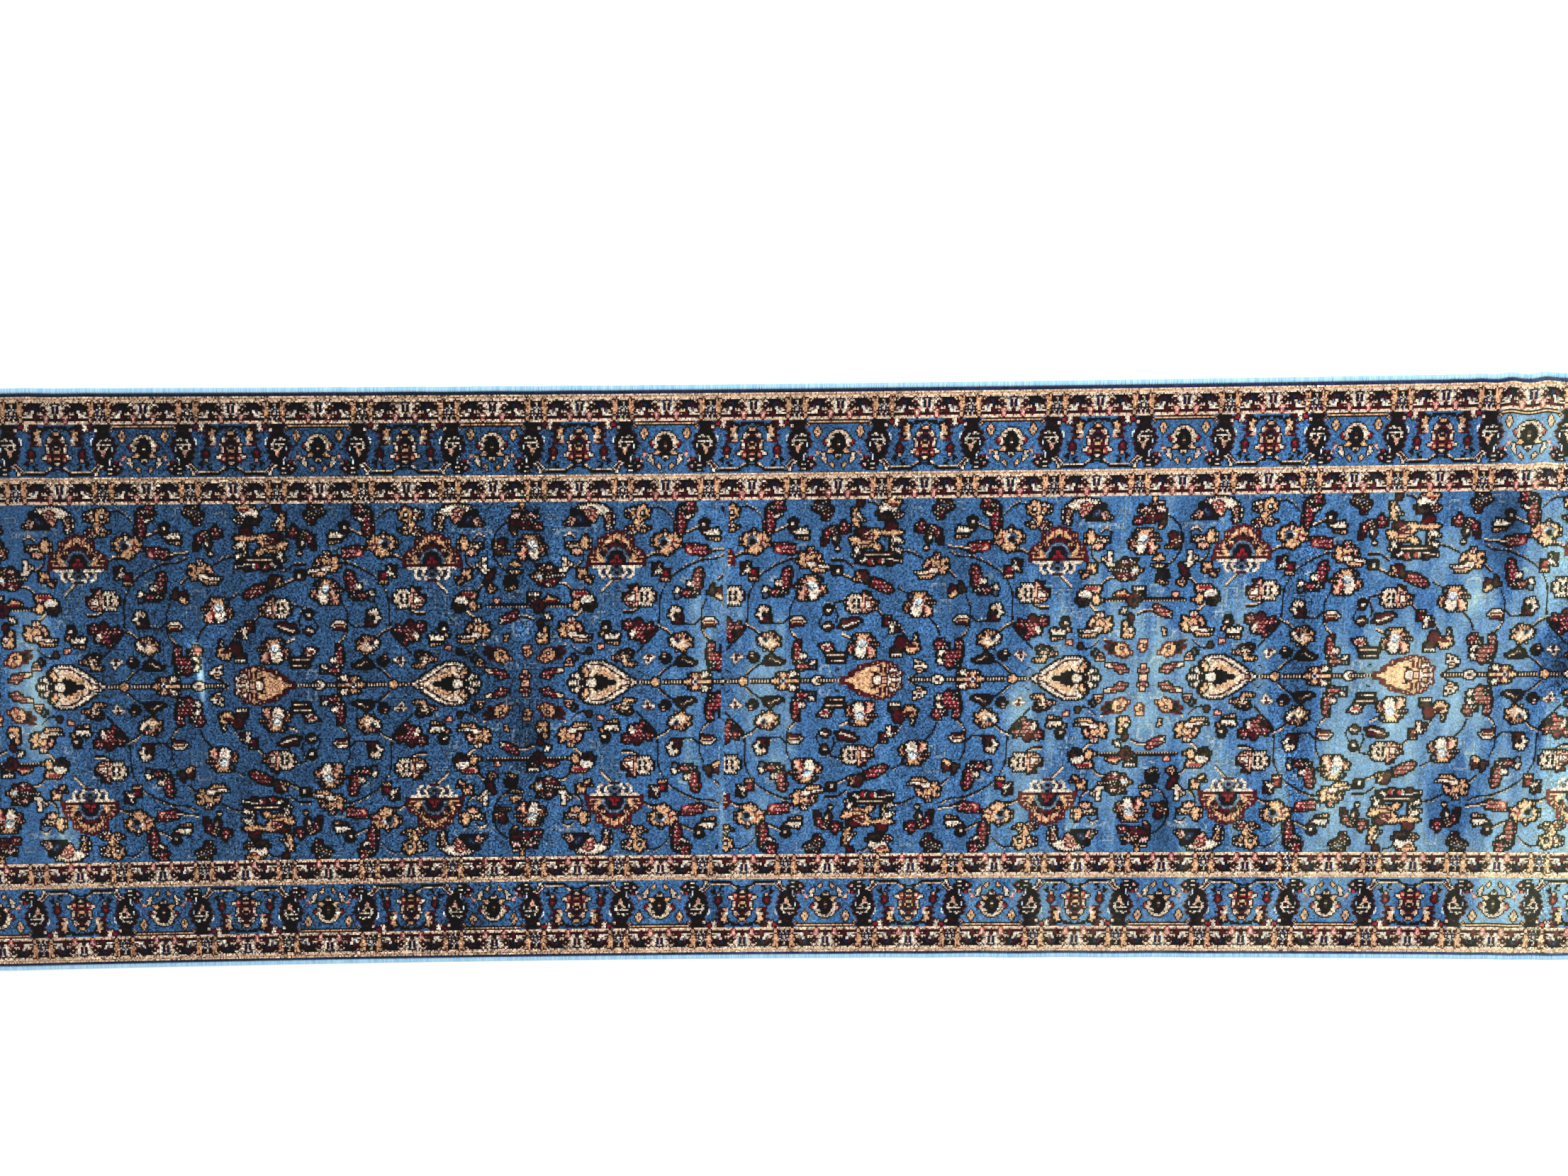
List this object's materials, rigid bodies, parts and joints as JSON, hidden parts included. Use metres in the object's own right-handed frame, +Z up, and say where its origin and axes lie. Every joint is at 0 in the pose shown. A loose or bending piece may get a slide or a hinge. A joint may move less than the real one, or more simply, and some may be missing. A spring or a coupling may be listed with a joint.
{
  "type": "runner rug",
  "caption": "Long narrow woven pile rug with a floral field, striped borders along both long edges and whipped yarn edges, lying flat on the floor.",
  "frame": {"origin": "middle of the underside, on the surface the rug lies on", "axes": "+X along the length, +Y across the width, +Z up out of the pile"},
  "size_m": [3, 0.8, 0.0095],
  "materials": {
    "field_pile": "cut pile yarn with a soft sheen, blue ground with camel, ivory, black, wine and rust motifs",
    "main_border_pile": "cut pile yarn, blue ground with dark leaves and ivory and camel palmettes",
    "guard_pile": "cut pile yarn, camel ground with small dark, ivory and rust flowers",
    "edge_line_pile": "cut pile yarn, plain dark blue",
    "serging": "light blue overcast yarn, slightly shiny",
    "cord": "twisted cotton cord",
    "ground_cloth": "jute and cotton plain weave, matt",
    "back_coat": "ribbed cloth back stiffened with a thin latex size, matt"
  },
  "bodies": {
    "root": {"back_coat": "back_coat", "ground_cloth": "ground_cloth", "field_pile": "field_pile", "front_edge_line_pile": "edge_line_pile", "front_outer_guard_pile": "guard_pile", "front_main_border_pile": "main_border_pile", "front_inner_guard_pile": "guard_pile", "rear_edge_line_pile": "edge_line_pile", "rear_outer_guard_pile": "guard_pile", "rear_main_border_pile": "main_border_pile", "rear_inner_guard_pile": "guard_pile", "front_serging": "serging", "front_cord": "cord", "rear_serging": "serging", "rear_cord": "cord", "left_end_serging": "serging", "left_end_cord": "cord", "right_end_serging": "serging", "right_end_cord": "cord"}
  },
  "joints": []
}
